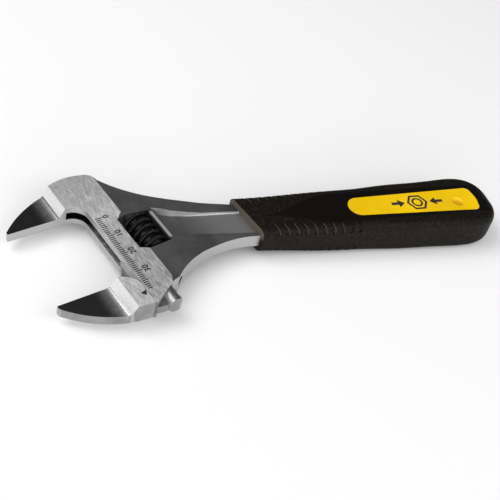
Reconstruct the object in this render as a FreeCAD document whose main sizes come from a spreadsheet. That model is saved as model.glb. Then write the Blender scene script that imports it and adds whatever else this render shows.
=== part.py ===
import FreeCAD, Part
import math
import os

from FreeCAD import Placement, Rotation, Vector

# Slim-jaw adjustable wrench, shown fully open.
#
# Three frames are used, all in millimetres with z up out of the front face:
#   jaw frame     origin at the throat corner on the back face, x towards the jaw tips,
#                 y in the direction in which the movable jaw opens
#   handle frame  same origin, x along the handle towards the grip end, y towards the fixed jaw's back
#   wrench frame  the handle frame moved to the middle of the fixed jaw's thin working face; every
#                 exported piece is placed in it

DIMENSIONS = (
    ("head_angle", 18.0),
    ("thickness", 8.0),
    ("jaw_reach", 30.0),
    ("max_opening", 39.0),
    ("closing_gap", 0.05),
    ("throat_radius", 6.0),
    ("bevel_start", 6.7),
    ("bevel_end", 9.2),
    ("tip_thickness", 3.8),
    ("slot_width", 3.3),
    ("web_width", 3.22),
    ("slide_fit", 0.04),
    ("rail_radius", 3.2),
    ("rail_offset", 8.0),
    ("rail_start", 25.3),
    ("rail_end", 57.0),
    ("bore_end", -14.0),
    ("worm_offset", 16.0),
    ("worm_radius", 5.85),
    ("worm_start", 13.5),
    ("worm_length", 16.4),
    ("thread_pitch", 3.5),
    ("thread_depth", 1.4),
    ("rack_depth", 1.3),
    ("pin_radius", 1.5),
    ("pin_start", 8.0),
    ("pin_end", 45.6),
    ("spring_pocket_radius", 2.7),
    ("spring_pocket_depth", 5.2),
    ("spring_radius", 2.1),
    ("spring_wire", 0.25),
    ("ground_step", 0.2),
    ("shank_thickness", 5.6),
    ("panel_thickness", 3.8),
    ("handle_offset", 15.0),
    ("tang_width", 13.0),
    ("tang_thickness", 5.0),
    ("tang_end", 142.0),
    ("core_width", 17.0),
    ("core_thickness", 7.8),
    ("core_start", 70.0),
    ("core_end", 166.0),
    ("inlay_start", 106.8),
    ("inlay_end", 168.0),
    ("inlay_rise", 0.1),
    ("grip_thickness", 15.0),
    ("collar_middle", 64.1),
    ("rib_count", 10.0),
    ("rib_spacing", 3.8),
    ("rib_gap", 1.2),
    ("rib_depth", 0.45),
)

# Grip sections: place along the handle, shift of the middle, half width, half thickness, corner radius.
GRIP_SECTIONS = (
    (50.0, 1.6, 10.9, 5.4, 2.4),
    (66.0, 1.4, 11.0, 5.6, 2.4),
    (82.0, 0.8, 11.2, 6.4, 2.4),
    (102.0, 0.1, 11.7, 7.25, 2.4),
    (122.0, -0.15, 12.6, 7.5, 2.4),
    (142.0, -0.3, 13.6, 7.5, 2.4),
    (158.0, -0.2, 14.5, 7.5, 2.4),
    (165.5, -0.1, 14.2, 7.4, 2.6),
    (170.5, -0.1, 12.6, 7.2, 3.2),
    (173.6, 0.0, 10.2, 6.6, 3.6),
    (176.0, 0.0, 6.0, 5.2, 3.6),
    (176.7, 0.0, 3.0, 4.0, 2.6),
)

doc = FreeCAD.newDocument("adjustable_wrench")
sheet = doc.addObject("Spreadsheet::Sheet", "Dim")
for row, (alias, value) in enumerate(DIMENSIONS, start=1):
    sheet.set(f"A{row}", alias)
    sheet.set(f"B{row}", str(value))
    sheet.setAlias(f"B{row}", alias)
doc.recompute()


def size(alias):
    return float(sheet.get(alias))


HEAD_ANGLE = math.radians(size("head_angle"))
MIDDLE = size("thickness") / 2.0
FACE_MIDDLE = (size("bevel_end") + size("jaw_reach")) / 2.0
TRAVEL = size("max_opening") - size("closing_gap")
ACROSS = 400.0

# Both frames are placed so that the middle of the fixed jaw's thin working face is the origin.
SHIFT = Vector(
    FACE_MIDDLE * math.cos(HEAD_ANGLE),
    FACE_MIDDLE * math.sin(HEAD_ANGLE),
    -size("tip_thickness") / 2.0,
)
HANDLE_FRAME = Placement(SHIFT, Rotation())
JAW_FRAME = Placement(SHIFT, Rotation(Vector(0, 0, 1), 180.0 + size("head_angle")))


def jaw_point(x, y):
    """A handle-frame point given in the jaw frame."""
    return (
        -x * math.cos(HEAD_ANGLE) - y * math.sin(HEAD_ANGLE),
        x * math.sin(HEAD_ANGLE) - y * math.cos(HEAD_ANGLE),
    )


def place_in_jaw_frame(item):
    item.setExpression("Placement.Base.x", "(Dim.bevel_end + Dim.jaw_reach) / 2 * cos(Dim.head_angle)")
    item.setExpression("Placement.Base.y", "(Dim.bevel_end + Dim.jaw_reach) / 2 * sin(Dim.head_angle)")
    item.setExpression("Placement.Base.z", "-Dim.tip_thickness / 2")
    item.setExpression("Placement.Rotation.Angle", "180 + Dim.head_angle")


def add_outline(sketch, start, steps):
    """Closed outline: a step is a point for a line, or a pair (middle, end) for an arc."""
    here = Vector(start[0], start[1], 0)
    for step in steps:
        if isinstance(step[0], tuple):
            middle = Vector(step[0][0], step[0][1], 0)
            there = Vector(step[1][0], step[1][1], 0)
            sketch.addGeometry(Part.Arc(here, middle, there))
        else:
            there = Vector(step[0], step[1], 0)
            sketch.addGeometry(Part.LineSegment(here, there))
        here = there


def add_polygon(sketch, points):
    add_outline(sketch, points[0], list(points[1:]) + [points[0]])


def body_sketch(body, name, role, offset=None):
    """A sketch on one of the body's own origin planes."""
    plane = [item for item in body.Origin.OriginFeatures if item.Role == role][0]
    sketch = body.newObject("Sketcher::SketchObject", name)
    sketch.AttachmentSupport = (plane, "")
    sketch.MapMode = "FlatFace"
    if offset is not None:
        sketch.AttachmentOffset = offset
    return sketch


def level(height):
    """Attachment offset that lifts a sketch off its plane."""
    return Placement(Vector(0, 0, height), Rotation())


def solid_volume(body):
    doc.recompute()
    return body.Shape.Volume


def pocket(body, name, sketch, length, side="One side", reverse=False, must_cut=True):
    """A pocket whose length is a sheet expression; it stops the build if it cuts nothing."""
    before = solid_volume(body)
    feature = body.newObject("PartDesign::Pocket", name)
    feature.Profile = sketch
    feature.SideType = side
    feature.Reversed = reverse
    feature.setExpression("Length", length)
    after = solid_volume(body)
    if must_cut and not after < before - 0.01:
        raise RuntimeError(f"{name} cuts nothing")
    return feature


def pad(body, name, sketch, length, side="One side", reverse=False):
    feature = body.newObject("PartDesign::Pad", name)
    feature.Profile = sketch
    feature.SideType = side
    feature.Reversed = reverse
    feature.setExpression("Length", length)
    doc.recompute()
    return feature


def thin_the_jaw(body, name):
    """Bevel and thin front of a jaw, cut along the opening direction."""
    start, end = size("bevel_start"), size("bevel_end")
    top, tip = size("thickness"), size("tip_thickness")
    sketch = body_sketch(body, name + "_profile", "XZ_Plane")
    foot = (end - 0.25, tip + 0.4)
    add_outline(
        sketch,
        (start, top),
        [
            foot,
            ((end + 0.9, tip + 0.08), (end + 3.0, tip)),
            (size("jaw_reach") + 5.0, tip),
            (size("jaw_reach") + 5.0, top + 5.0),
            (start, top + 5.0),
            (start, top),
        ],
    )
    pocket(body, name, sketch, str(ACROSS), side="Symmetric")


# ---------------------------------------------------------------- forged body with the fixed jaw

def head_and_handle_outline():
    """Plan of the forging: fixed jaw, throat, slide edge, head end, shank and tang."""
    reach = size("jaw_reach")
    throat = size("throat_radius")
    deep = throat * (1.0 - math.sqrt(0.5))
    axis = -size("handle_offset")
    half = size("tang_width") / 2.0
    tang_end = size("tang_end")
    start = (reach, 0.0)
    steps = [
        (throat, 0.0),
        ((deep, deep), (0.0, throat)),
        (0.0, 56.2),
        (-10.6, 49.4),
        ((-12.4, 48.7), jaw_point(28.5, -41.5)),
        (jaw_point(35.2, -33.8), jaw_point(46.0, -27.1)),
        (jaw_point(54.0, -24.3), jaw_point(62.0, -23.1)),
        jaw_point(68.0, -23.1),
        jaw_point(72.0, axis - half),
        jaw_point(tang_end - 2.0, axis - half),
        jaw_point(tang_end, axis - half + 2.0),
        jaw_point(tang_end, axis + half - 2.0),
        jaw_point(tang_end - 2.0, axis + half),
        jaw_point(72.0, axis + half),
        jaw_point(68.0, -4.6),
        jaw_point(60.0, -4.3),
        (jaw_point(46.0, -1.9), jaw_point(34.0, 0.5)),
        (jaw_point(19.0, 6.5), (-12.6, -10.6)),
        ((-11.6, -13.2), (-9.6, -14.9)),
        ((-1.5, -16.2), (6.7, -14.5)),
        ((20.5, -8.7), (reach, -1.2)),
        start,
    ]
    return start, steps


def thin_the_shank(body):
    """Front and back of the shank slope down from the head to the shank and tang thickness."""
    middle = MIDDLE
    shank = size("shank_thickness") / 2.0
    tang = size("tang_thickness") / 2.0
    head = middle
    end = size("tang_end") + 5.0
    clear = middle + 5.0
    turn = Rotation(Vector(0, 1, 0), 180.0 - size("head_angle"))
    sketch = body_sketch(body, "shank_side", "XZ_Plane", Placement(Vector(), turn))
    for side in (1.0, -1.0):
        add_outline(
            sketch,
            (26.0, middle + side * head),
            [
                ((36.0, middle + side * (head * 0.62 + shank * 0.38)), (47.0, middle + side * shank)),
                (68.0, middle + side * shank),
                (71.0, middle + side * tang),
                (end, middle + side * tang),
                (end, middle + side * clear),
                (26.0, middle + side * clear),
                (26.0, middle + side * head),
            ],
        )
    pocket(body, "shank_thinning", sketch, str(ACROSS), side="Symmetric")


def leave_ground_faces(body):
    """The forged surface right of the ground faces lies a little lower, front and back."""
    border = [
        (-12.0, -30.0),
        (-12.0, 9.4),
        (-8.5, 12.9),
        (-8.5, 29.3),
        (-12.0, 31.0),
        (-12.0, 46.6),
        (-10.6, 49.4),
        (-10.6, 70.0),
        (-220.0, 140.0),
        (-220.0, -30.0),
    ]
    for name, height, reverse in (("front", size("thickness"), False), ("back", 0.0, True)):
        sketch = body_sketch(body, f"forged_{name}", "XY_Plane", level(height))
        add_polygon(sketch, border)
        pocket(body, f"forged_{name}_step", sketch, "Dim.ground_step", reverse=reverse)


def cut_worm_window(body):
    window = [
        (-8.5, 12.9),
        (-11.9, 11.4),
        (-22.15, 12.6),
        (-22.15, 30.4),
        (-12.0, 31.0),
        (-8.5, 29.3),
    ]
    sketch = body_sketch(body, "window_plan", "XY_Plane", level(MIDDLE))
    add_polygon(sketch, window)
    pocket(body, "worm_window", sketch, str(ACROSS), side="Symmetric")


def cut_rail_bore(body):
    sketch = body_sketch(body, "rail_bore_circle", "XZ_Plane", level(-70.0))
    centre = Vector(-size("rail_offset"), MIDDLE, 0)
    sketch.addGeometry(Part.Circle(centre, Vector(0, 0, 1), size("rail_radius") + size("slide_fit")))
    pocket(body, "rail_bore", sketch, "70 - Dim.bore_end", reverse=True)


def cut_web_slot(body):
    """Slot between the cheeks, with a recess in the jaw root for the movable jaw's gusset."""
    rail = -size("rail_offset")
    sketch = body_sketch(body, "web_slot_plan", "XY_Plane", level(MIDDLE))
    slot = [
        (6.2, 1.8),
        (6.2, -1.4),
        (3.2, -8.4),
        (0.3, -8.8),
        (-4.3, -13.6),
        (rail, -13.6),
        (rail, 60.0),
        (6.2, 60.0),
    ]
    add_polygon(sketch, slot)
    pocket(body, "web_slot", sketch, "Dim.slot_width", side="Symmetric")


def cut_pin_bore(body):
    sketch = body_sketch(body, "pin_bore_circle", "XZ_Plane", level(-60.0))
    centre = Vector(-size("worm_offset"), MIDDLE, 0)
    sketch.addGeometry(Part.Circle(centre, Vector(0, 0, 1), size("pin_radius") + size("slide_fit") / 2.0))
    pocket(body, "pin_bore", sketch, "60 - Dim.pin_start", reverse=True)


def cut_shank_panels(body):
    """Recessed panels with sloping walls on both sides of the shank, open towards the worm window."""
    rim = [
        (-23.4, 12.4),
        jaw_point(26.3, -3.9),
        jaw_point(30.2, -4.6),
        jaw_point(33.9, -6.0),
        jaw_point(41.9, -6.9),
        jaw_point(48.7, -7.0),
        jaw_point(55.6, -7.5),
        jaw_point(70.0, -8.4),
        jaw_point(70.0, -21.5),
        jaw_point(57.4, -20.9),
        jaw_point(49.3, -20.2),
        jaw_point(41.3, -19.9),
        (-23.4, 29.9),
    ]
    slope = [
        (-23.4, 12.8),
        jaw_point(26.9, -4.8),
        jaw_point(29.9, -6.6),
        jaw_point(33.7, -7.6),
        jaw_point(41.6, -8.5),
        jaw_point(48.5, -8.6),
        jaw_point(55.5, -8.6),
        jaw_point(70.0, -8.9),
        jaw_point(70.0, -21.1),
        jaw_point(57.4, -20.5),
        jaw_point(49.3, -19.8),
        jaw_point(41.3, -19.5),
        (-23.4, 29.2),
    ]
    floor = size("panel_thickness") / 2.0
    for name, side in (("front", 1.0), ("back", -1.0)):
        top = body_sketch(body, f"panel_{name}_rim", "XY_Plane", level(MIDDLE + side * MIDDLE))
        add_polygon(top, rim)
        bottom = body_sketch(body, f"panel_{name}_floor", "XY_Plane", level(MIDDLE + side * floor))
        add_polygon(bottom, slope)
        before = solid_volume(body)
        loft = body.newObject("PartDesign::SubtractiveLoft", f"panel_{name}")
        loft.Profile = top
        loft.Sections = [bottom]
        loft.Ruled = True
        if not solid_volume(body) < before - 1.0:
            raise RuntimeError("a shank panel cuts nothing")


def make_wrench_body():
    body = doc.addObject("PartDesign::Body", "WrenchBody")
    body.Label = "wrench_body"
    plan = body_sketch(body, "forging_plan", "XY_Plane")
    start, steps = head_and_handle_outline()
    add_outline(plan, start, steps)
    pad(body, "forging", plan, "Dim.thickness")
    thin_the_jaw(body, "fixed_jaw_front")
    leave_ground_faces(body)
    thin_the_shank(body)
    cut_worm_window(body)
    cut_shank_panels(body)
    cut_web_slot(body)
    cut_rail_bore(body)
    cut_pin_bore(body)
    place_in_jaw_frame(body)
    return body


# ---------------------------------------------------------------- movable jaw

def make_movable_jaw():
    body = doc.addObject("PartDesign::Body", "MovableJaw")
    body.Label = "movable_jaw"
    reach = size("jaw_reach")
    face = size("max_opening")
    fit = size("slide_fit")
    rail = -size("rail_offset")

    block = body_sketch(body, "jaw_plan", "XY_Plane")
    start = (reach, face)
    add_outline(
        block,
        start,
        [
            (6.7, face),
            ((2.6, face + 2.0), (fit, face + 7.0)),
            (fit, 55.4),
            (7.0, 54.6),
            ((20.0, 49.2), (reach, face + 1.4)),
            start,
        ],
    )
    pad(body, "jaw_block", block, "Dim.thickness")
    thin_the_jaw(body, "movable_jaw_front")

    web = body_sketch(body, "web_plan", "XY_Plane", level(MIDDLE))
    top = size("rail_start")
    add_polygon(
        web,
        [
            (rail, top + 0.6),
            (-4.6, top + 0.9),
            (0.6, 31.3),
            (1.3, 32.3),
            (2.4, 35.4),
            (4.2, 38.2),
            (5.6, face),
            (5.6, face + 2.0),
            (1.0, 53.0),
            (-1.0, 56.3),
            (rail, size("rail_end")),
        ],
    )
    pad(body, "web", web, "Dim.web_width", side="Symmetric")

    ring = body_sketch(body, "rail_circle", "XZ_Plane", level(-size("rail_end")))
    ring.addGeometry(Part.Circle(Vector(rail, MIDDLE, 0), Vector(0, 0, 1), size("rail_radius")))
    pad(body, "rail", ring, "Dim.rail_end - Dim.rail_start")

    cut_rack_teeth(body)
    place_in_jaw_frame(body)
    return body


def rack_gap_middles():
    """Places along the rail where the worm's thread crests sit, the rail's two ends included."""
    pitch = size("thread_pitch")
    first = size("worm_start") + pitch / 2.0
    count = int(size("rail_end") / pitch) + 2
    places = [first + index * pitch for index in range(count)]
    low = size("rail_start") - pitch / 2.0
    high = size("rail_end") + pitch / 2.0
    return [place for place in places if low < place < high]


def cut_rack_teeth(body):
    outer = -size("rail_offset") - size("rail_radius")
    depth = size("rack_depth")
    sketch = body_sketch(body, "rack_gaps", "XY_Plane", level(MIDDLE))
    mouth, floor = 2.7, 1.9
    for place in rack_gap_middles():
        add_polygon(
            sketch,
            [
                (outer - 1.0, place - mouth / 2.0),
                (outer, place - mouth / 2.0),
                (outer + depth, place - floor / 2.0),
                (outer + depth, place + floor / 2.0),
                (outer, place + mouth / 2.0),
                (outer - 1.0, place + mouth / 2.0),
            ],
        )
    pocket(body, "rack_teeth", sketch, "2 * Dim.rail_radius", side="Symmetric")


# ---------------------------------------------------------------- worm, pin and spring

def on_worm_axis(along):
    """Placement in the wrench frame with local z along the opening direction and x towards the rail."""
    local = Placement(Vector(-size("worm_offset"), along, MIDDLE), Rotation(Vector(1, 0, 0), -90.0))
    return JAW_FRAME.multiply(local)


def make_worm():
    body = doc.addObject("PartDesign::Body", "Worm")
    body.Label = "worm"
    radius = size("worm_radius")
    depth = size("thread_depth")
    pitch = size("thread_pitch")
    length = size("worm_length")

    disc = body_sketch(body, "worm_circle", "XY_Plane")
    disc.addGeometry(Part.Circle(Vector(), Vector(0, 0, 1), radius))
    pad(body, "worm_blank", disc, "Dim.worm_length")

    bore = body_sketch(body, "worm_bore_circle", "XY_Plane")
    bore.addGeometry(Part.Circle(Vector(), Vector(0, 0, 1), size("pin_radius") + size("slide_fit")))
    pocket(body, "worm_bore", bore, "Dim.worm_length", reverse=True)

    well = body_sketch(body, "spring_pocket_circle", "XY_Plane")
    well.addGeometry(Part.Circle(Vector(), Vector(0, 0, 1), size("spring_pocket_radius")))
    pocket(body, "spring_pocket", well, "Dim.spring_pocket_depth", reverse=True)

    groove = body_sketch(body, "thread_groove", "XZ_Plane")
    mouth, floor = 2.3, 1.5
    middle = -pitch
    add_polygon(
        groove,
        [
            (radius - depth, middle - floor / 2.0),
            (radius, middle - mouth / 2.0),
            (radius + 1.0, middle - mouth / 2.0),
            (radius + 1.0, middle + mouth / 2.0),
            (radius, middle + mouth / 2.0),
            (radius - depth, middle + floor / 2.0),
        ],
    )
    helix = body.newObject("PartDesign::SubtractiveHelix", "thread")
    before = solid_volume(body)
    helix.Profile = groove
    helix.ReferenceAxis = (groove, ["V_Axis"])
    helix.Mode = "pitch-height-angle"
    helix.setExpression("Pitch", "Dim.thread_pitch")
    helix.Height = length + 2.0 * pitch
    if not solid_volume(body) < before - 10.0:
        raise RuntimeError("the worm's thread cuts nothing")
    body.Placement = on_worm_axis(size("worm_start"))
    return body


def make_pin():
    """Axle with a chamfered inner end and a screwdriver slot in the outer end."""
    rod = doc.addObject("Part::Cylinder", "PinRod")
    rod.setExpression("Radius", "Dim.pin_radius")
    rod.setExpression("Height", "Dim.pin_end - Dim.pin_start - 0.1")
    slot = doc.addObject("Part::Box", "PinSlot")
    slot.Length = 4.0
    slot.Width = 0.6
    slot.Height = 1.0
    slot.Placement = Placement(Vector(-2.0, -0.3, 0.0), Rotation())
    slot.setExpression("Placement.Base.z", "Dim.pin_end - Dim.pin_start - 1")
    pin = doc.addObject("Part::Cut", "WormPin")
    pin.Base = rod
    pin.Tool = slot
    pin.Label = "worm_pin"
    pin.Placement = on_worm_axis(size("pin_start") + 0.1)
    return pin


def make_spring():
    """Coil that sits in the worm's pocket and bears on the window's upper wall."""
    wire = size("spring_wire")
    height = size("spring_pocket_depth") + 0.7 - 2.0 * wire
    turns = 5
    path = Part.makeHelix(height / turns, height, size("spring_radius"))
    circle = Part.Wire([Part.Circle(Vector(size("spring_radius"), 0, 0), Vector(0, 1, 0), wire).toShape()])
    spring = doc.addObject("Part::Feature", "WormSpring")
    spring.Shape = Part.Wire(path).makePipeShell([circle], True, True)
    spring.Label = "worm_spring"
    along = size("worm_start") + size("spring_pocket_depth") - wire - 0.1 - height
    spring.Placement = on_worm_axis(along)
    return spring


# ---------------------------------------------------------------- two-material grip

def plan_extrusion(name, start, steps, low, high):
    """Upright solid over a plan outline in the handle frame."""
    sketch = doc.addObject("Sketcher::SketchObject", name + "_plan")
    add_outline(sketch, start, steps)
    sketch.Placement = level(low)
    solid = doc.addObject("Part::Extrusion", name)
    solid.Base = sketch
    solid.DirMode = "Normal"
    solid.Solid = True
    solid.LengthFwd = high - low
    return solid


def rounded_rectangle(half_width, half_height, corner):
    """Start point and steps of a rectangle with round corners, centred on the sketch."""
    w, h, r = half_width, half_height, corner
    bulge = r * (1.0 - math.sqrt(0.5))
    start = (w - r, h)
    return start, [
        ((w - bulge, h - bulge), (w, h - r)),
        (w, r - h),
        ((w - bulge, bulge - h), (w - r, -h)),
        (r - w, -h),
        ((bulge - w, bulge - h), (-w, r - h)),
        (-w, h - r),
        ((bulge - w, h - bulge), (r - w, h)),
        start,
    ]


def grip_form(name, inset):
    """Outer shape of the grip, or the same shape a little smaller all round, as a loft along the handle."""
    sections = []
    for number, (x, shift, half_width, half_height, corner) in enumerate(GRIP_SECTIONS):
        sketch = doc.addObject("Sketcher::SketchObject", f"{name}_section_{number}")
        start, steps = rounded_rectangle(half_width - inset, half_height - inset, corner - inset)
        add_outline(sketch, start, steps)
        across = Rotation(Vector(0, 1, 0), Vector(0, 0, 1), Vector(1, 0, 0), "ZXY")
        sketch.Placement = Placement(Vector(x, shift - size("handle_offset"), MIDDLE), across)
        sections.append(sketch)
    loft = doc.addObject("Part::Loft", name)
    loft.Sections = sections
    loft.Solid = True
    loft.Ruled = False
    doc.recompute()
    return loft


def grip_outer():
    """Grip form with its front end cut square to the jaws' opening direction."""
    form = grip_form("GripForm", 0.0)
    waste = doc.addObject("Part::Box", "CollarWaste")
    waste.Length = 40.0
    waste.Width = 80.0
    waste.Height = 60.0
    turn = Rotation(Vector(0, 0, 1), size("head_angle"))
    corner = turn.multVec(Vector(-40.0, -40.0, 0.0))
    foot = Vector(size("collar_middle"), -size("handle_offset"), -30.0)
    waste.Placement = Placement(foot + corner, turn)
    outer = doc.addObject("Part::Cut", "GripOuter")
    outer.Base = form
    outer.Tool = waste
    doc.recompute()
    return outer


def inlay_outline():
    """Inlay: round front end, sides that spread a little, gently curved rear end."""
    axis = -size("handle_offset") - 0.5
    front = size("inlay_start")
    rear = size("inlay_end")
    narrow, wide = 5.2, 6.7
    start = (front + narrow, axis + narrow)
    return start, [
        (rear - 4.0, axis + wide),
        ((rear - 1.2, axis + wide - 1.0), (rear - 0.6, axis + wide - 3.0)),
        ((rear, axis), (rear - 0.6, axis - wide + 3.0)),
        ((rear - 1.2, axis - wide + 1.0), (rear - 4.0, axis - wide)),
        (front + narrow, axis - narrow),
        ((front, axis), start),
    ]


def make_core(tang):
    """Hard core around the tang, with an inlay pad on each side and a blind dimple in the front one."""
    axis = -size("handle_offset")
    half = size("core_width") / 2.0
    thick = size("core_thickness") / 2.0
    first = size("core_start")
    last = size("core_end")
    start = (first, axis + half)
    block = plan_extrusion(
        "CoreBlock",
        start,
        [
            (last - 3.0, axis + half),
            (last, axis + half - 3.0),
            (last, axis - half + 3.0),
            (last - 3.0, axis - half),
            (first, axis - half),
            start,
        ],
        MIDDLE - thick,
        MIDDLE + thick,
    )
    rise = size("grip_thickness") / 2.0 + size("inlay_rise")
    start, steps = inlay_outline()
    pads = plan_extrusion("CorePads", start, steps, MIDDLE - rise, MIDDLE + rise)
    blank = doc.addObject("Part::MultiFuse", "CoreBlank")
    blank.Shapes = [block, pads]
    doc.recompute()

    dimple = doc.addObject("Part::Sphere", "CoreDimple")
    dimple.Radius = 3.4
    dimple.Placement = Placement(Vector(158.3, axis - 1.7, MIDDLE + rise + 2.0), Rotation())
    hollow = doc.addObject("Part::Cut", "CoreDimpled")
    hollow.Base = blank
    hollow.Tool = dimple
    doc.recompute()

    core = doc.addObject("Part::Feature", "GripCore")
    solid = hollow.Shape.cut(tang)
    core.Shape = solid.Solids[0] if len(solid.Solids) == 1 else solid
    core.Label = "grip_core"
    core.Placement = HANDLE_FRAME
    return core, blank


def rib_cutters():
    """Bars over the grip's four long shoulders, parallel to the collar; each marks out a groove."""
    axis = -size("handle_offset")
    collar = size("collar_middle")
    width, reach, tall = size("rib_gap"), 9.0, 20.0
    shoulder = 3.8
    lean = Rotation(Vector(0, 0, 1), size("head_angle"))
    bars = []
    for side, behind_collar, inner, spread in ((1.0, 5.1, 7.2, 0.08), (-1.0, 6.1, 5.2, 0.14)):
        for index in range(int(size("rib_count"))):
            along = behind_collar + index * size("rib_spacing")
            near = inner + spread * along
            for low in (shoulder, -shoulder - tall):
                start = Vector(-width / 2.0, near if side > 0.0 else -near - reach, low)
                bar = Part.makeBox(width, reach, tall, start)
                bar.Placement = Placement(Vector(collar + along, axis + 0.6, MIDDLE), lean)
                bars.append(bar)
    return bars


def make_sleeve(outer, core_blank, shank):
    """Soft sleeve around the core, with shallow grooves between ribs near its front end."""
    inner = grip_form("GripRibFloor", size("rib_depth"))
    skin = outer.Shape.cut(inner.Shape)
    grooves = [skin.common(bar) for bar in rib_cutters()]
    solid = outer.Shape.cut(core_blank.Shape).cut(shank)
    before = solid.Volume
    solid = solid.cut(grooves)
    if not solid.Volume < before - 1.0:
        raise RuntimeError("the grip's ribs cut nothing")
    sleeve = doc.addObject("Part::Feature", "GripSleeve")
    sleeve.Shape = max(solid.Solids, key=lambda item: item.Volume)
    sleeve.Label = "grip_sleeve"
    sleeve.Placement = HANDLE_FRAME
    return sleeve


# ---------------------------------------------------------------- assembly and export

def main():
    body = make_wrench_body()
    jaw = make_movable_jaw()
    worm = make_worm()
    pin = make_pin()
    spring = make_spring()
    doc.recompute()

    body_in_handle = body.Shape.copy()
    body_in_handle.Placement = HANDLE_FRAME.inverse().multiply(body_in_handle.Placement)
    core, core_blank = make_core(body_in_handle)
    outer = grip_outer()
    sleeve = make_sleeve(outer, core_blank, body_in_handle)
    doc.recompute()

    failed = [item.Label for item in doc.Objects if "Invalid" in item.State or "Error" in item.State]
    if failed:
        raise RuntimeError(f"these objects did not recompute: {failed}")
    pieces = [body, jaw, worm, pin, spring, core, sleeve]
    for piece in pieces:
        shape = piece.Shape
        if shape.isNull() or not shape.isValid():
            raise RuntimeError(f"{piece.Label} has no valid shape")
        print(piece.Label, "solids", len(shape.Solids), "volume", round(shape.Volume, 1), shape.BoundBox)
    os.makedirs("parts", exist_ok=True)
    for piece in pieces:
        piece.Shape.exportStep(os.path.join("parts", piece.Label + ".step"))


main()
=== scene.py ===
import math

import bmesh
import bpy
from mathutils import Matrix, Vector


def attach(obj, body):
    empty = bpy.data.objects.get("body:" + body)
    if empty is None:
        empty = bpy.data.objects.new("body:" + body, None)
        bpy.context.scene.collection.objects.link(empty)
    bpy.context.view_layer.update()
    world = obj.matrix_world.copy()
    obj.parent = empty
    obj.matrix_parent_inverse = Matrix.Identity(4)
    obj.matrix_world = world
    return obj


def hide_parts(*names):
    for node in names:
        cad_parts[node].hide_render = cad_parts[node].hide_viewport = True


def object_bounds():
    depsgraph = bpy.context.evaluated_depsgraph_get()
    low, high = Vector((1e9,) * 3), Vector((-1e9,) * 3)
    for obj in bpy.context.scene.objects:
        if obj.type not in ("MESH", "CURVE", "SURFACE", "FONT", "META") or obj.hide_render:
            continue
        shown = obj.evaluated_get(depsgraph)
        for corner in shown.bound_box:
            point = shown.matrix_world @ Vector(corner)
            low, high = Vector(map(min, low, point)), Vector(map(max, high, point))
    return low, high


# Slim-jaw adjustable wrench. Two frames are used besides the wrench frame of the CAD model:
#   jaw frame     origin at the throat corner on the back face, a towards the jaw tips,
#                 b in the opening direction, z out of the front face, in millimetres
#   handle frame  x along the handle, y across it, measured from the same throat corner, in millimetres
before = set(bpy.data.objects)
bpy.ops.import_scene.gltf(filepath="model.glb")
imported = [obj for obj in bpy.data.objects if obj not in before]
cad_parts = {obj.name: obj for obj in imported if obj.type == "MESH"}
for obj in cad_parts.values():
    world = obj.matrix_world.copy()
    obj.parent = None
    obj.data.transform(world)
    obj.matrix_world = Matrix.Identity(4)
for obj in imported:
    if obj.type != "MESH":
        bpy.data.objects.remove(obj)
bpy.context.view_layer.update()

MM = 0.001
HEAD_ANGLE = math.radians(18.0)
THROAT = Vector((0.018641, 0.006057, -0.0019))
TO_TIPS = Vector((-math.cos(HEAD_ANGLE), -math.sin(HEAD_ANGLE), 0.0))
TO_OPEN = Vector((math.sin(HEAD_ANGLE), -math.cos(HEAD_ANGLE), 0.0))
UP = Vector((0.0, 0.0, 1.0))

THICKNESS = 8.0
BEVEL_START = 6.7
BEVEL_END = 9.2
TIP_THICKNESS = 3.8
SLOT_HALF = 1.65
GRIP_COLLAR = -56.0
PANEL_MIDDLE = 14.0
PANEL_FALL = 0.40
GRIP_AXIS = -15.0
INLAY_TOP = 11.6
# painted light: brown for the sleeve's faces turned towards the head
END_FACE_PAINTED_LIGHT = (0.095, 0.082, 0.066, 1.0)
DIMPLE_CENTRE = (158.3, GRIP_AXIS - 2.2)


def jaw_place(a, b, z=0.0):
    """Wrench-frame point of a jaw-frame point."""
    return THROAT + MM * (a * TO_TIPS + b * TO_OPEN + z * UP)


def jaw_coordinates(point):
    """Jaw-frame a, b, z in millimetres of a wrench-frame point."""
    offset = (point - THROAT) / MM
    return offset.dot(TO_TIPS), offset.dot(TO_OPEN), offset.z


def handle_place(x, y, z=0.0):
    return THROAT + MM * Vector((x, y, z))


# ---------------------------------------------------------------- shader building

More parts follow.
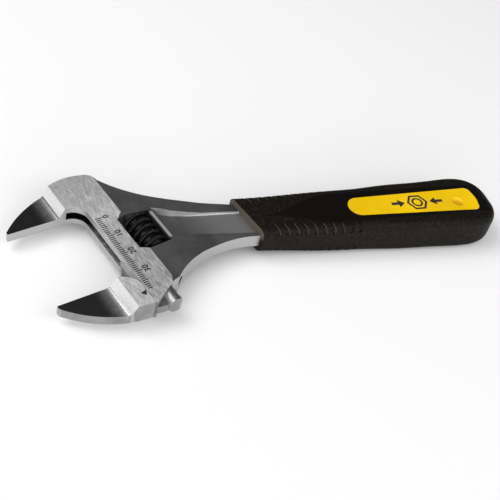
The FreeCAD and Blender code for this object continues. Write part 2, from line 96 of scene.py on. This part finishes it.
class Graph:
    """A material's node tree with short calls for the nodes that the finishes share."""

    def __init__(self, name, metallic, ior=1.5):
        self.material = bpy.data.materials.new(name)
        self.material.use_nodes = True
        self.nodes = self.material.node_tree.nodes
        self.links = self.material.node_tree.links
        self.shader = self.nodes["Principled BSDF"]
        self.shader.inputs["Metallic"].default_value = metallic
        self.shader.inputs["IOR"].default_value = ior
        self.place = self.nodes.new("ShaderNodeTexCoord").outputs["Object"]

    def connect(self, value, socket):
        if isinstance(value, bpy.types.NodeSocket):
            self.links.new(value, socket)
        else:
            socket.default_value = value

    def mapped(self, scale, turn=0.0, shift=(0.0, 0.0, 0.0)):
        """Object coordinates in millimetres, turned about z, then stretched."""
        frame_node = self.nodes.new("ShaderNodeMapping")
        frame_node.inputs["Location"].default_value = shift
        frame_node.inputs["Rotation"].default_value = (0.0, 0.0, turn)
        frame_node.inputs["Scale"].default_value = (1.0 / MM,) * 3
        self.links.new(self.place, frame_node.inputs["Vector"])
        stretch = self.nodes.new("ShaderNodeMapping")
        stretch.inputs["Scale"].default_value = scale
        self.links.new(frame_node.outputs["Vector"], stretch.inputs["Vector"])
        return stretch.outputs["Vector"]

    def in_jaw_frame(self, scale=(1.0, 1.0, 1.0)):
        turn = -math.pi - HEAD_ANGLE
        shift = Matrix.Rotation(turn, 3, "Z") @ (-THROAT / MM)
        return self.mapped(scale, turn, shift)

    def in_handle_frame(self, scale=(1.0, 1.0, 1.0)):
        return self.mapped(scale, 0.0, -THROAT / MM)

    def axes(self, vector):
        parts = self.nodes.new("ShaderNodeSeparateXYZ")
        self.links.new(vector, parts.inputs["Vector"])
        return parts.outputs["X"], parts.outputs["Y"], parts.outputs["Z"]

    def math(self, operation, *values):
        node = self.nodes.new("ShaderNodeMath")
        node.operation = operation
        for index, value in enumerate(values):
            self.connect(value, node.inputs[index])
        return node.outputs["Value"]

    def noise(self, vector, scale, detail=3.0, roughness=0.55):
        node = self.nodes.new("ShaderNodeTexNoise")
        node.inputs["Scale"].default_value = scale
        node.inputs["Detail"].default_value = detail
        node.inputs["Roughness"].default_value = roughness
        self.links.new(vector, node.inputs["Vector"])
        return node.outputs["Fac"]

    def cells(self, vector, scale):
        node = self.nodes.new("ShaderNodeTexVoronoi")
        node.inputs["Scale"].default_value = scale
        self.links.new(vector, node.inputs["Vector"])
        return node.outputs["Distance"]

    def remap(self, value, low, high, to_low=0.0, to_high=1.0):
        """Smooth step from to_low at low to to_high at high."""
        node = self.nodes.new("ShaderNodeMapRange")
        node.interpolation_type = "SMOOTHSTEP"
        node.inputs["From Min"].default_value = low
        node.inputs["From Max"].default_value = high
        node.inputs["To Min"].default_value = to_low
        node.inputs["To Max"].default_value = to_high
        self.links.new(value, node.inputs["Value"])
        return node.outputs["Result"]

    def between(self, value, low, high, soft):
        """1 inside low to high, 0 outside."""
        rise = self.remap(value, low - soft, low + soft)
        fall = self.remap(value, high - soft, high + soft, 1.0, 0.0)
        return self.math("MULTIPLY", rise, fall)

    def blend(self, share, first, second):
        """Colour between first and second."""
        node = self.nodes.new("ShaderNodeMix")
        node.data_type = "RGBA"
        self.connect(share, node.inputs["Factor"])
        self.connect(first, node.inputs["A"])
        self.connect(second, node.inputs["B"])
        return node.outputs["Result"]

    def bump(self, height, distance, strength=1.0, after=None):
        node = self.nodes.new("ShaderNodeBump")
        node.inputs["Strength"].default_value = strength
        node.inputs["Distance"].default_value = distance * MM
        self.links.new(height, node.inputs["Height"])
        if after is not None:
            self.links.new(after, node.inputs["Normal"])
        return node.outputs["Normal"]

    def finish(self, color, roughness, normal=None):
        self.connect(color, self.shader.inputs["Base Color"])
        self.connect(roughness, self.shader.inputs["Roughness"])
        if normal is not None:
            self.links.new(normal, self.shader.inputs["Normal"])
        return self.material


def grey(value):
    return (value, value, value * 1.01, 1.0)


def rubbed_and_highlit_edge(graph, color, rubbed_highlit_color):
    """Blends in a lighter colour where the surface is sharply convex: rubbed wear together with a painted
    highlight.
    """
    pointiness = graph.nodes.new("ShaderNodeNewGeometry").outputs["Pointiness"]
    share = graph.remap(pointiness, 0.52, 0.62)
    return graph.blend(share, color, rubbed_highlit_color)


# ---------------------------------------------------------------- finishes

def ground_steel():
    """Flat faces ground along the slide: long fine lines, faint blotches and a few scratches, with painted
    shade towards low b.
    """
    light, dark = 0.98, 0.56
    graph = Graph("ground_steel", 1.0)
    lines = graph.noise(graph.in_jaw_frame((4.6, 0.3, 4.6)), 1.0, 5.0, 0.7)
    blotches = graph.noise(graph.in_jaw_frame(), 0.16, 3.0)
    scratches = graph.noise(graph.in_jaw_frame((1.1, 14.0, 1.0)), 0.5, 2.0)
    tone = graph.math("ADD", graph.math("MULTIPLY", lines, 0.85), graph.math("MULTIPLY", blotches, 0.15))
    tone = graph.remap(tone, 0.40, 0.60)
    color = graph.blend(tone, grey(dark), grey(light))
    fine = graph.remap(scratches, 0.62, 0.72)
    color = graph.blend(graph.math("MULTIPLY", fine, 0.25), color, grey(light))
    a, b, z = graph.axes(graph.in_jaw_frame())
    # painted shade: the ground faces are darkened by up to 30 per cent towards low b
    color = graph.blend(graph.remap(b, -14.0, 14.0, 0.30, 0.0), color, grey(0.25))
    roughness = graph.remap(lines, 0.3, 0.7, 0.42, 0.58)
    normal = graph.bump(lines, 0.02, 0.5)
    graph.shader.inputs["Anisotropic"].default_value = 0.3
    return graph.finish(color, roughness, normal)


def forged_steel():
    """Blasted forging: dark satin grey, with painted light on the panel towards the grip and a painted
    highlight on the rib beside the window.
    """
    graph = Graph("forged_steel", 1.0)
    grain = graph.noise(graph.in_jaw_frame(), 3.2, 4.0, 0.6)
    clouds = graph.noise(graph.in_jaw_frame(), 0.09, 3.0)
    tone = graph.math("ADD", graph.math("MULTIPLY", grain, 0.5), graph.math("MULTIPLY", clouds, 0.5))
    color = graph.blend(graph.remap(tone, 0.38, 0.62), grey(0.15), grey(0.25))
    a, b, z = graph.axes(graph.in_jaw_frame())
    from_middle = graph.math("ABSOLUTE", graph.math("SUBTRACT", z, THICKNESS / 2.0))
    low = graph.between(from_middle, 1.4, 2.3, 0.15)
    # painted light: the panel floor is lightened towards the grip
    painted_light_near_grip = graph.math("MULTIPLY", graph.remap(a, -50.0, -26.0, 1.0, 0.0), low)
    color = graph.blend(painted_light_near_grip, color, grey(0.46))
    # painted highlight: the rib beside the window is painted near-white towards the front face
    land_highlight = graph.between(a, -23.45, -22.0, 0.10)
    land_highlight = graph.math("MULTIPLY", land_highlight, graph.between(b, 13.8, 29.0, 0.25))
    high = graph.remap(z, 6.4, 7.0)
    land_highlight = graph.math("MULTIPLY", land_highlight, high)
    color = graph.blend(land_highlight, color, grey(0.86))
    roughness = graph.remap(grain, 0.3, 0.7, 0.34, 0.50)
    normal = graph.bump(grain, 0.03, 0.45)
    return graph.finish(color, roughness, normal)


def polished_steel():
    """Bright machined slopes and edges."""
    graph = Graph("polished_steel", 1.0)
    lines = graph.noise(graph.in_jaw_frame((0.5, 4.0, 4.0)), 1.0, 3.0)
    color = graph.blend(graph.remap(lines, 0.35, 0.65), grey(0.90), grey(0.98))
    roughness = graph.remap(lines, 0.3, 0.7, 0.20, 0.30)
    return graph.finish(color, roughness, graph.bump(lines, 0.006, 0.3))


def mirror_plate():
    """Thin jaw plates: mirror steel with a painted reflection, near-black and painted brighter towards the
    bevel, and a thin painted shadow line where the bevel meets the plate.
    """
    graph = Graph("mirror_plate", 1.0)
    a, b, z = graph.axes(graph.in_jaw_frame())
    smear = graph.noise(graph.in_jaw_frame((0.35, 2.2, 1.0)), 1.0, 3.0)
    reach = graph.math("ADD", a, graph.math("MULTIPLY", smear, -2.2))
    # painted reflection: the plate's colour is a near-black reflection of a dark room, painted brighter
    # towards the bevel
    painted_reflection_glow = graph.math("POWER", graph.remap(reach, 8.0, 16.5, 1.0, 0.0), 1.6)
    color = graph.blend(painted_reflection_glow, grey(0.08), grey(0.80))
    # painted shadow: a thin dark line where the bevel meets the plate
    painted_foot_shadow = graph.between(a, BEVEL_END - 0.25, BEVEL_END + 0.35, 0.12)
    color = graph.blend(graph.math("MULTIPLY", painted_foot_shadow, 0.75), color, grey(0.05))
    roughness = graph.remap(smear, 0.3, 0.7, 0.16, 0.26)
    return graph.finish(color, roughness, graph.bump(smear, 0.004, 0.25))


def side_steel():
    """Sides of the jaws and cheeks: mid-grey satin with marks across the thickness."""
    graph = Graph("side_steel", 1.0)
    marks = graph.noise(graph.in_jaw_frame((1.4, 1.4, 5.0)), 1.0, 4.0, 0.6)
    clouds = graph.noise(graph.in_jaw_frame(), 0.14, 2.0)
    tone = graph.math("ADD", graph.math("MULTIPLY", marks, 0.5), graph.math("MULTIPLY", clouds, 0.5))
    color = graph.blend(graph.remap(tone, 0.38, 0.62), grey(0.25), grey(0.36))
    # rubbed wear and painted highlight: the sharp edges of the sides are lightened
    color = rubbed_and_highlit_edge(graph, color, grey(0.50))
    roughness = graph.remap(marks, 0.3, 0.7, 0.32, 0.44)
    return graph.finish(color, roughness, graph.bump(marks, 0.012, 0.4))


def slot_steel():
    """Walls inside the slot and the bores: painted shade, near-black near the fixed jaw, turning to plain
    grey further along.
    """
    graph = Graph("slot_steel", 1.0)
    marks = graph.noise(graph.in_jaw_frame((2.0, 0.6, 2.0)), 1.0, 3.0)
    a, b, z = graph.axes(graph.in_jaw_frame())
    # painted shade: the walls are painted near-black near the fixed jaw, where the slot's deep root lies in
    # shade
    past_root_shade = graph.remap(b, 5.0, 14.0)
    painted_root_shade = graph.blend(graph.remap(marks, 0.35, 0.65), grey(0.04), grey(0.09))
    bare = graph.blend(graph.remap(marks, 0.35, 0.65), grey(0.48), grey(0.66))
    color = graph.blend(past_root_shade, painted_root_shade, bare)
    roughness = graph.remap(marks, 0.3, 0.7, 0.36, 0.55)
    return graph.finish(color, roughness, graph.bump(marks, 0.02, 0.4))


def black_oxide():
    """Worm: black oxide, grey on the crests of its thread from rubbed wear together with a painted highlight.
    """
    graph = Graph("black_oxide", 1.0)
    grain = graph.noise(graph.in_jaw_frame(), 1.6, 4.0, 0.65)
    color = graph.blend(graph.remap(grain, 0.35, 0.68), grey(0.008), grey(0.024))
    # rubbed wear and painted highlight: the crests are lightened to grey
    color = rubbed_and_highlit_edge(graph, color, grey(0.10))
    roughness = graph.remap(grain, 0.3, 0.7, 0.24, 0.38)
    return graph.finish(color, roughness, graph.bump(grain, 0.05, 0.5))


def spring_steel():
    graph = Graph("spring_steel", 1.0)
    grain = graph.noise(graph.in_jaw_frame(), 1.2, 2.0)
    color = graph.blend(grain, grey(0.30), grey(0.48))
    return graph.finish(color, graph.remap(grain, 0.3, 0.7, 0.28, 0.40), graph.bump(grain, 0.01, 0.3))


def yellow_plastic():
    """Hard inlay: warm yellow with a faint moulded orange-peel, and painted shade in the dimple."""
    graph = Graph("yellow_plastic", 0.0)
    graph.shader.inputs["Specular IOR Level"].default_value = 0.25
    peel = graph.noise(graph.in_handle_frame(), 1.4, 3.0)
    clouds = graph.noise(graph.in_handle_frame(), 0.05, 2.0)
    color = graph.blend(graph.remap(clouds, 0.35, 0.65), (0.80, 0.50, 0.0, 1.0), (0.90, 0.58, 0.0, 1.0))
    x, y, z = graph.axes(graph.in_handle_frame())
    # painted shade: darker orange inside the dimple
    aside = graph.math("POWER", graph.math("SUBTRACT", x, DIMPLE_CENTRE[0]), 2.0)
    across = graph.math("POWER", graph.math("SUBTRACT", y, DIMPLE_CENTRE[1]), 2.0)
    from_dimple = graph.math("SQRT", graph.math("ADD", aside, across))
    painted_dimple_shade = graph.math("MULTIPLY", graph.remap(from_dimple, 1.7, 2.5, 1.0, 0.0), 0.8)
    color = graph.blend(painted_dimple_shade, color, (0.62, 0.30, 0.0, 1.0))
    roughness = graph.remap(peel, 0.3, 0.7, 0.34, 0.46)
    return graph.finish(color, roughness, graph.bump(peel, 0.02, 0.35))


def black_rubber():
    """Sleeve: a smooth front panel shaped like a tongue, and a leather-like grain everywhere else, with
    painted light on the faces turned towards the head.
    """
    graph = Graph("black_rubber", 0.0)
    graph.shader.inputs["Specular IOR Level"].default_value = 0.10
    x, y, z = graph.axes(graph.in_handle_frame())
    across = graph.math("ABSOLUTE", graph.math("SUBTRACT", y, GRIP_AXIS))
    tongue = graph.remap(x, 70.0, 100.0, 0.0, 8.6)
    inside = graph.remap(graph.math("SUBTRACT", tongue, across), -0.5, 0.5)
    front = graph.remap(graph.math("ABSOLUTE", graph.math("SUBTRACT", z, THICKNESS / 2.0)), 3.6, 4.4)
    panel = graph.math("MULTIPLY", inside, front)
    grainy = graph.math("SUBTRACT", 1.0, panel)

    cells = graph.cells(graph.in_handle_frame(), 1.25)
    fine = graph.noise(graph.in_handle_frame(), 2.6, 4.0, 0.6)
    grain = graph.math("ADD", graph.math("MULTIPLY", cells, 0.7), graph.math("MULTIPLY", fine, 0.5))
    rim = graph.between(graph.math("SUBTRACT", tongue, across), -0.35, 0.35, 0.2)
    rim = graph.math("MULTIPLY", rim, front)
    dusty = graph.math("MULTIPLY", graph.remap(grain, 0.45, 0.85), grainy)
    color = graph.blend(dusty, (0.0036, 0.0029, 0.0020, 1.0), (0.0135, 0.0110, 0.0086, 1.0))
    normal_parts = graph.axes(graph.nodes.new("ShaderNodeNewGeometry").outputs["Normal"])
    # painted light: faces turned towards the head, in the front part of the sleeve up to about x 98 to 106,
    # are lightened to brown
    forward = graph.remap(graph.math("MULTIPLY", normal_parts[0], -1.0), 0.6, 0.85)
    ribbed = graph.remap(x, 98.0, 106.0, 1.0, 0.0)
    painted_end_face_light = graph.math("MULTIPLY", graph.math("MULTIPLY", forward, ribbed), graph.remap(z, 4.2, 6.4))
    color = graph.blend(painted_end_face_light, color, END_FACE_PAINTED_LIGHT)
    roughness = graph.math("ADD", 0.36, graph.math("MULTIPLY", grainy, 0.14))
    height = graph.math("MULTIPLY", grain, grainy)
    normal = graph.bump(height, 0.10, 0.55)
    normal = graph.bump(graph.math("MULTIPLY", rim, -1.0), 0.25, 0.6, after=normal)
    normal = graph.bump(fine, 0.015, 0.3, after=normal)
    return graph.finish(color, roughness, normal)


def engraved_ink(name, value):
    """Dark fill of the engraved scale and of the printed sign."""
    graph = Graph(name, 0.0)
    grain = graph.noise(graph.in_handle_frame(), 2.0, 3.0)
    color = graph.blend(grain, grey(value), grey(value * 2.2))
    return graph.finish(color, graph.remap(grain, 0.3, 0.7, 0.45, 0.65), graph.bump(grain, 0.01, 0.3))


# ---------------------------------------------------------------- CAD nodes: finishes and soft edges

def wrench_body_zone(a, b, z, normal):
    """Which finish a face of the forged body has."""
    flat = abs(normal.z) > 0.9
    if abs(z - THICKNESS / 2.0) < SLOT_HALF + 0.1 and -9.0 < a < 6.4 and -13.8 < b < 56.0:
        inside_slot = flat or normal.dot(TO_TIPS) > 0.5 and a < -0.5
        if inside_slot or a > 0.3 and abs(z - THICKNESS / 2.0) < SLOT_HALF - 0.1:
            return "slot"
    if a > BEVEL_START - 0.1 and normal.z > 0.15:
        return "plate" if normal.z > 0.93 and z < TIP_THICKNESS + 0.5 else "bevel"
    if flat and (z > THICKNESS - 0.05 or z < 0.05):
        return "ground"
    if a > -12.4 and (a > 0.5 or b < 8.0) and not flat:
        return "side"
    if a > -0.3 and not flat:
        return "side"
    above_panel = b < PANEL_MIDDLE - (a - GRIP_COLLAR) * PANEL_FALL
    # painted highlight: the sloped rim faces above the panel take the bright polished finish instead of the
    # forged one
    if a < -23.0 and 0.3 < normal.z < 0.93 and z > 5.5 and above_panel:
        return "rim"
    if flat or (12.0 < b < 31.5 and -23.0 < a < -8.0):
        return "forged"
    if normal.z > 0.15 or normal.z < -0.15:
        return "forged"
    return "side"


def jaw_zone(a, b, z, normal):
    """Which finish a face of the movable jaw has."""
    if a > BEVEL_START - 0.1 and normal.z > 0.15:
        return "plate" if normal.z > 0.93 and z < TIP_THICKNESS + 0.5 else "bevel"
    if abs(normal.z) > 0.9 and (z > THICKNESS - 0.05 or z < 0.05):
        return "ground"
    return "side"


def finish_by_zone(node, zones, choose):
    """Gives each face of a CAD node the finish that its place and direction call for."""
    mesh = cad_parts[node].data
    mesh.materials.clear()
    names = list(zones)
    for name in names:
        mesh.materials.append(zones[name])
    for face in mesh.polygons:
        a, b, z = jaw_coordinates(face.center)
        face.material_index = names.index(choose(a, b, z, face.normal))


def finish_all(node, material):
    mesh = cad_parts[node].data
    mesh.materials.clear()
    mesh.materials.append(material)


def soften_edges(node, width, angle=30.0, segments=2):
    """Small rounding on a CAD node's sharp edges, so that they catch the light."""
    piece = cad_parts[node]
    weld = piece.modifiers.new("weld", "WELD")
    weld.merge_threshold = 0.002 * MM
    bevel = piece.modifiers.new("soft_edges", "BEVEL")
    bevel.width = width * MM
    bevel.segments = segments
    bevel.limit_method = "ANGLE"
    bevel.angle_limit = math.radians(angle)
    bevel.use_clamp_overlap = True
    bevel.miter_outer = "MITER_ARC"
    normals = piece.modifiers.new("face_normals", "WEIGHTED_NORMAL")
    normals.keep_sharp = False
    for face in piece.data.polygons:
        face.use_smooth = True


# ---------------------------------------------------------------- new pieces

def new_piece(name, mesh, material, body, replaced=()):
    piece = bpy.data.objects.new(name, mesh)
    bpy.context.scene.collection.objects.link(piece)
    mesh.materials.clear()
    mesh.materials.append(material)
    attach(piece, body)
    if replaced:
        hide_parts(*replaced)
    return piece


def add_bar(work, corners, low, high):
    """Thin upright prism over a plan outline of wrench-frame points."""
    floor = [work.verts.new(corner + MM * low * UP) for corner in corners]
    top = [work.verts.new(corner + MM * high * UP) for corner in corners]
    work.faces.new(top)
    work.faces.new(list(reversed(floor)))
    count = len(corners)
    for index in range(count):
        after = (index + 1) % count
        work.faces.new((floor[index], floor[after], top[after], top[index]))


def finished_mesh(work, name):
    mesh = bpy.data.meshes.new(name)
    bmesh.ops.recalc_face_normals(work, faces=work.faces)
    work.to_mesh(mesh)
    work.free()
    return mesh


SCALE_ZERO = 9.5
SCALE_LENGTH = 39
TICK_START = -0.7
TICK_HALF_WIDTH = 0.22
NUMERAL_PLACE = -5.4
NUMERAL_HEIGHT = 3.3
MARK_SINK = -0.05
MARK_RISE = 0.02


def make_scale_ticks(material):
    """One line per millimetre, longer at fives and tens."""
    work = bmesh.new()
    for count in range(SCALE_LENGTH + 1):
        length = 2.9 if count % 10 == 0 else 2.5 if count % 5 == 0 else 2.0
        b = SCALE_ZERO + count
        near, far = b - TICK_HALF_WIDTH, b + TICK_HALF_WIDTH
        end = TICK_START - length
        corners = [(TICK_START, near), (TICK_START, far), (end, far), (end, near)]
        add_bar(work, [jaw_place(x, y, THICKNESS) for x, y in corners], MARK_SINK, MARK_RISE)
    mesh = finished_mesh(work, "scale_ticks")
    return new_piece("scale_ticks", mesh, material, "frame")


def text_mesh(text, height, spacing):
    """Flat mesh of a short number, centred, in millimetres."""
    curve = bpy.data.curves.new("number_curve", "FONT")
    curve.body = text
    curve.size = height
    curve.align_x = "CENTER"
    curve.align_y = "CENTER"
    curve.space_character = spacing
    curve.extrude = 0.035
    curve.offset = 0.06
    curve.resolution_u = 4
    holder = bpy.data.objects.new("number_holder", curve)
    bpy.context.scene.collection.objects.link(holder)
    bpy.context.view_layer.update()
    mesh = bpy.data.meshes.new_from_object(holder)
    bpy.data.objects.remove(holder)
    bpy.data.curves.remove(curve)
    return mesh


def make_scale_numerals(material):
    """The numbers 0 to 30, read from the jaw end, with their tops towards the jaw opening."""
    work = bmesh.new()
    facing = Matrix((-TO_OPEN, TO_TIPS, UP)).transposed().to_4x4()
    for tens in range(4):
        mesh = text_mesh(str(10 * tens), NUMERAL_HEIGHT, 1.06)
        place = Matrix.Translation(jaw_place(NUMERAL_PLACE, SCALE_ZERO + 10 * tens, THICKNESS))
        mesh.transform(place @ facing @ Matrix.Scale(MM, 4))
        work.from_mesh(mesh)
        bpy.data.meshes.remove(mesh)
    mesh = finished_mesh(work, "scale_numerals")
    return new_piece("scale_numerals", mesh, material, "frame")


def make_pointer(material):
    """Small black triangle on the movable jaw; its tip reads the opening on the scale."""
    work = bmesh.new()
    corners = [(0.2, SCALE_ZERO + 39.0), (1.3, SCALE_ZERO + 41.6), (2.9, SCALE_ZERO + 39.8)]
    add_bar(work, [jaw_place(x, y, THICKNESS) for x, y in corners], MARK_SINK, MARK_RISE)
    mesh = finished_mesh(work, "opening_pointer")
    return new_piece("opening_pointer", mesh, material, "jaw")


def ring_points(centre, radius, count, first):
    points = []
    for index in range(count):
        angle = first + 2.0 * math.pi * index / count
        points.append((centre[0] + radius * math.cos(angle), centre[1] + radius * math.sin(angle)))
    return points


def add_band(work, outer, inner):
    """Flat closed band between two outlines with the same number of points, on the inlay's top."""
    count = len(outer)
    for index in range(count):
        after = (index + 1) % count
        quad = [outer[index], outer[after], inner[after], inner[index]]
        add_bar(work, [handle_place(x, y, INLAY_TOP) for x, y in quad], MARK_SINK, MARK_RISE)


def make_inlay_sign(material):
    """Printed sign: a hexagon nut held between two arrows."""
    work = bmesh.new()
    centre = (139.0, GRIP_AXIS - 0.5)
    add_band(work, ring_points(centre, 4.9, 6, 0.0), ring_points(centre, 3.8, 6, 0.0))
    add_band(work, ring_points(centre, 2.6, 32, 0.0), ring_points(centre, 1.7, 32, 0.0))
    for side in (-1.0, 1.0):
        tip, neck, tail = (centre[0] + side * reach for reach in (5.9, 9.0, 12.2))
        head = [(tip, 0.0), (neck, 2.3), (neck, -2.3)]
        shaft = [(neck, 0.8), (tail, 0.8), (tail, -0.8), (neck, -0.8)]
        for outline in (head, shaft):
            corners = [handle_place(x, centre[1] + y, INLAY_TOP) for x, y in outline]
            add_bar(work, corners, MARK_SINK, MARK_RISE)
    return new_piece("inlay_sign", finished_mesh(work, "inlay_sign"), material, "frame")


WORM_OFFSET = 16.0
WORM_START = 13.5
WORM_LENGTH = 16.4
WORM_RADIUS = 5.85
THREAD_PITCH = 3.5
THREAD_DEPTH = 1.4
GROOVE_MOUTH = 2.3
GROOVE_FLOOR = 1.5
KNURL_TEETH = 30
KNURL_DEPTH = 0.32
CREST_ROUNDING = 0.16
END_CHAMFER = 0.5
WORM_BORE = 1.56
SPRING_POCKET = 2.7
SPRING_POCKET_DEPTH = 5.2


def worm_radius_at(angle, along):
    """Radius of the knurled thread at an angle from the rail and a place along the worm."""
    turns = (along - THREAD_PITCH * angle / (2.0 * math.pi)) / THREAD_PITCH
    from_groove = abs(turns - round(turns)) * THREAD_PITCH
    slope = (from_groove - GROOVE_FLOOR / 2.0) / ((GROOVE_MOUTH - GROOVE_FLOOR) / 2.0)
    height = min(1.0, max(0.0, slope))
    lean = 0.9 * (along - THREAD_PITCH * angle / (2.0 * math.pi))
    wave = 0.5 - 0.5 * math.cos(KNURL_TEETH * angle + lean)
    knurl = KNURL_DEPTH * (1.0 - wave) ** 2 * height
    past_edge = max(0.0, 1.0 - (from_groove - GROOVE_MOUTH / 2.0) / 0.25)
    rounding = CREST_ROUNDING * past_edge if height >= 1.0 else 0.0
    end = min(along, WORM_LENGTH - along)
    chamfer = max(0.0, END_CHAMFER - end)
    return WORM_RADIUS - THREAD_DEPTH * (1.0 - height) - knurl - rounding - chamfer - 0.01


def make_worm(material):
    """Knurled worm with its bore and spring pocket, on the slide's axis direction."""
    around = KNURL_TEETH * 8
    rows = 132
    work = bmesh.new()
    rings = []
    for row in range(rows + 1):
        along = WORM_LENGTH * row / rows
        ring = []
        for step in range(around):
            angle = 2.0 * math.pi * step / around
            ring.append((worm_radius_at(angle, along), angle, along))
        rings.append(ring)
    pocket = (
        (WORM_BORE, WORM_LENGTH),
        (WORM_BORE, SPRING_POCKET_DEPTH),
        (SPRING_POCKET, SPRING_POCKET_DEPTH),
        (SPRING_POCKET, 0.0),
    )
    for radius, along in pocket:
        rings.append([(radius, 2.0 * math.pi * step / around, along) for step in range(around)])
    placed = []
    for ring in rings:
        placed.append([])
        for radius, angle, along in ring:
            a = -WORM_OFFSET + radius * math.cos(angle)
            z = THICKNESS / 2.0 - radius * math.sin(angle)
            placed[-1].append(work.verts.new(jaw_place(a, WORM_START + along, z)))
    for index, ring in enumerate(placed):
        after = placed[(index + 1) % len(placed)]
        for step in range(around):
            following = (step + 1) % around
            work.faces.new((ring[step], ring[following], after[following], after[step]))
    for face in work.faces:
        face.smooth = True
    mesh = finished_mesh(work, "knurled_worm")
    return new_piece("knurled_worm", mesh, material, "screw", ("worm",))


# ---------------------------------------------------------------- stage

def make_floor():
    """Plain pale floor just under the grip."""
    low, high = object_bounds()
    work = bmesh.new()
    reach = 3.0
    level = low.z - 0.0002
    square = ((-reach, -reach), (reach, -reach), (reach, reach), (-reach, reach))
    corners = [Vector((x, y, level)) for x, y in square]
    work.faces.new([work.verts.new(corner) for corner in corners])
    floor = bpy.data.objects.new("floor", finished_mesh(work, "floor"))
    bpy.context.scene.collection.objects.link(floor)
    graph = Graph("pale_floor", 0.0)
    graph.shader.inputs["Specular IOR Level"].default_value = 0.2
    floor.data.materials.append(graph.finish((0.92, 0.92, 0.92, 1.0), 0.8))


def add_softbox(name, place, target, width, height, power, tint=(1.0, 1.0, 1.0)):
    data = bpy.data.lights.new(name, "AREA")
    data.shape = "RECTANGLE"
    data.size = width
    data.size_y = height
    data.energy = power
    data.color = tint
    lamp = bpy.data.objects.new(name, data)
    lamp.location = place
    lamp.rotation_mode = "QUATERNION"
    lamp.rotation_quaternion = (Vector(target) - Vector(place)).to_track_quat("-Z", "Y")
    bpy.context.scene.collection.objects.link(lamp)


def dim_the_room(darkest, brightest, strength):
    """Room light that is bright in front and to the left and dark behind, as in a tent open at the back."""
    world = bpy.data.worlds.new("studio")
    bpy.context.scene.world = world
    world.use_nodes = True
    nodes = world.node_tree.nodes
    links = world.node_tree.links
    direction = nodes.new("ShaderNodeTexCoord").outputs["Generated"]
    facing = nodes.new("ShaderNodeVectorMath")
    facing.operation = "DOT_PRODUCT"
    facing.inputs[1].default_value = Vector((-0.45, -0.85, 0.25)).normalized()
    links.new(direction, facing.inputs[0])
    ramp = nodes.new("ShaderNodeMapRange")
    ramp.interpolation_type = "SMOOTHSTEP"
    ramp.inputs["From Min"].default_value = -0.75
    ramp.inputs["From Max"].default_value = 0.55
    ramp.inputs["To Min"].default_value = darkest
    ramp.inputs["To Max"].default_value = brightest
    links.new(facing.outputs["Value"], ramp.inputs["Value"])
    background = nodes["Background"]
    links.new(ramp.outputs["Result"], background.inputs["Color"])
    background.inputs["Strength"].default_value = strength


def light_the_studio():
    centre = (0.08, 0.0, 0.0)
    add_softbox("key", (-0.40, 0.22, 0.75), centre, 0.6, 0.6, 3.6)
    add_softbox("fill", (0.55, -0.55, 0.55), centre, 0.7, 0.5, 1.6)
    add_softbox("low_front", (-0.10, -0.75, 0.16), centre, 0.9, 0.22, 2.0)
    dim_the_room(0.12, 1.05, 0.8)
    bpy.context.scene.view_settings.view_transform = "Standard"


def make_camera():
    data = bpy.data.cameras.new("camera")
    data.sensor_width = 36.0
    data.lens = 66.03
    data.clip_start = 0.01
    data.clip_end = 20.0
    camera = bpy.data.objects.new("camera", data)
    camera.location = (-0.04424, -0.25160, 0.24581)
    camera.rotation_euler = [math.radians(angle) for angle in (45.967, -11.110, -17.787)]
    bpy.context.scene.collection.objects.link(camera)
    bpy.context.scene.camera = camera


# ---------------------------------------------------------------- building the scene

def main():
    steel = {
        "ground": ground_steel(),
        "bevel": polished_steel(),
        "plate": mirror_plate(),
        "side": side_steel(),
        "slot": slot_steel(),
        "forged": forged_steel(),
        # painted highlight: bright polished finish on the forged rim slopes
        "rim": polished_steel(),
    }
    finish_by_zone("wrench_body", steel, wrench_body_zone)
    finish_by_zone("movable_jaw", {key: steel[key] for key in ("ground", "bevel", "plate", "side")}, jaw_zone)
    finish_all("worm_pin", slot_steel())
    finish_all("worm_spring", spring_steel())
    finish_all("grip_core", yellow_plastic())
    finish_all("grip_sleeve", black_rubber())
    soften_edges("wrench_body", 0.22)
    soften_edges("movable_jaw", 0.22)

    ink = engraved_ink("engraved_ink", 0.006)
    make_scale_ticks(ink)
    make_scale_numerals(ink)
    make_pointer(ink)
    make_inlay_sign(engraved_ink("printed_ink", 0.012))
    make_worm(black_oxide())

    make_floor()
    light_the_studio()
    make_camera()


main()
